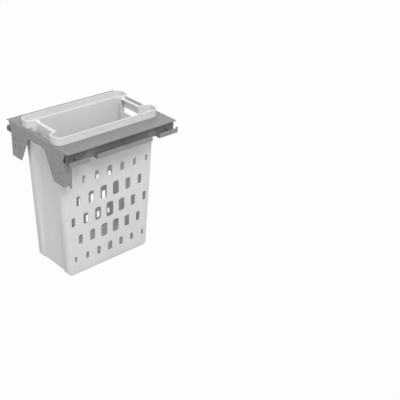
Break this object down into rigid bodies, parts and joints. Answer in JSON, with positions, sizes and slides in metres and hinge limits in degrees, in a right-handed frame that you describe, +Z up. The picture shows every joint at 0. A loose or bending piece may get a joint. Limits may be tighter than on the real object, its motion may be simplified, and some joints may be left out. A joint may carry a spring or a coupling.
{
  "type": "pull-out laundry basket",
  "caption": "Slotted plastic laundry basket hanging by its rim in a steel frame with door ears, on full-extension ball slides with cabinet side brackets.",
  "frame": {"origin": "on the door plane, midway between the cabinet walls, level with the top of the frame plate", "axes": "+X to the right seen from the front, +Y into the cabinet along the slides, +Z up"},
  "size_m": [0.366, 0.455, 0.545],
  "materials": {
    "frame_steel": "satin silver-grey powder coat",
    "slide_steel": "zinc plated",
    "cage_steel": "plain",
    "ball_steel": "polished",
    "rivet_steel": "dull dark",
    "cap_plastic": "fine grain",
    "buffer_rubber": "matt",
    "basket_plastic": "satin moulded"
  },
  "bodies": {
    "cabinet_side": {"wall_bracket_left": "frame_steel", "cabinet_member_left": "slide_steel", "channel_cap_left": "cap_plastic", "closing_buffer_left": "buffer_rubber", "bracket_rivets_left": "rivet_steel", "wall_bracket_right": "frame_steel", "cabinet_member_right": "slide_steel", "channel_cap_right": "cap_plastic", "closing_buffer_right": "buffer_rubber", "bracket_rivets_right": "rivet_steel"},
    "carriage": {"frame_plate": "frame_steel", "door_plate": "frame_steel", "frame_skirt_left": "frame_steel", "drawer_member_left": "slide_steel", "skirt_rivets_left": "rivet_steel", "frame_skirt_right": "frame_steel", "drawer_member_right": "slide_steel", "skirt_rivets_right": "rivet_steel"},
    "middle_left": {"middle_member_left": "slide_steel"},
    "outer_cage_left": {"outer_cage_left": "cage_steel", "outer_balls_left": "ball_steel"},
    "inner_cage_left": {"inner_cage_left": "cage_steel", "inner_balls_left": "ball_steel"},
    "middle_right": {"middle_member_right": "slide_steel"},
    "outer_cage_right": {"outer_cage_right": "cage_steel", "outer_balls_right": "ball_steel"},
    "inner_cage_right": {"inner_cage_right": "cage_steel", "inner_balls_right": "ball_steel"},
    "basket": {"laundry_basket": "basket_plastic"}
  },
  "joints": [
    {"name": "carriage_slide", "type": "slide", "parent": "cabinet_side", "child": "carriage", "axis": [0, -1, 0], "range_m": [0, 0.435]},
    {"name": "middle_left_slide", "type": "slide", "parent": "cabinet_side", "child": "middle_left", "axis": [0, -1, 0], "range_m": [0, 0.2175]},
    {"name": "outer_cage_left_slide", "type": "slide", "parent": "cabinet_side", "child": "outer_cage_left", "axis": [0, -1, 0], "range_m": [0, 0.10875]},
    {"name": "inner_cage_left_slide", "type": "slide", "parent": "cabinet_side", "child": "inner_cage_left", "axis": [0, -1, 0], "range_m": [0, 0.32625]},
    {"name": "middle_right_slide", "type": "slide", "parent": "cabinet_side", "child": "middle_right", "axis": [0, -1, 0], "range_m": [0, 0.2175]},
    {"name": "outer_cage_right_slide", "type": "slide", "parent": "cabinet_side", "child": "outer_cage_right", "axis": [0, -1, 0], "range_m": [0, 0.10875]},
    {"name": "inner_cage_right_slide", "type": "slide", "parent": "cabinet_side", "child": "inner_cage_right", "axis": [0, -1, 0], "range_m": [0, 0.32625]},
    {"name": "basket_lift", "type": "slide", "parent": "carriage", "child": "basket", "axis": [0, 0, 1], "range_m": [0, 0.56]}
  ],
  "couplings": [
    {"joint": "middle_left_slide", "follows": "carriage_slide", "ratio": 0.5},
    {"joint": "outer_cage_left_slide", "follows": "carriage_slide", "ratio": 0.25},
    {"joint": "inner_cage_left_slide", "follows": "carriage_slide", "ratio": 0.75},
    {"joint": "middle_right_slide", "follows": "carriage_slide", "ratio": 0.5},
    {"joint": "outer_cage_right_slide", "follows": "carriage_slide", "ratio": 0.25},
    {"joint": "inner_cage_right_slide", "follows": "carriage_slide", "ratio": 0.75}
  ]
}
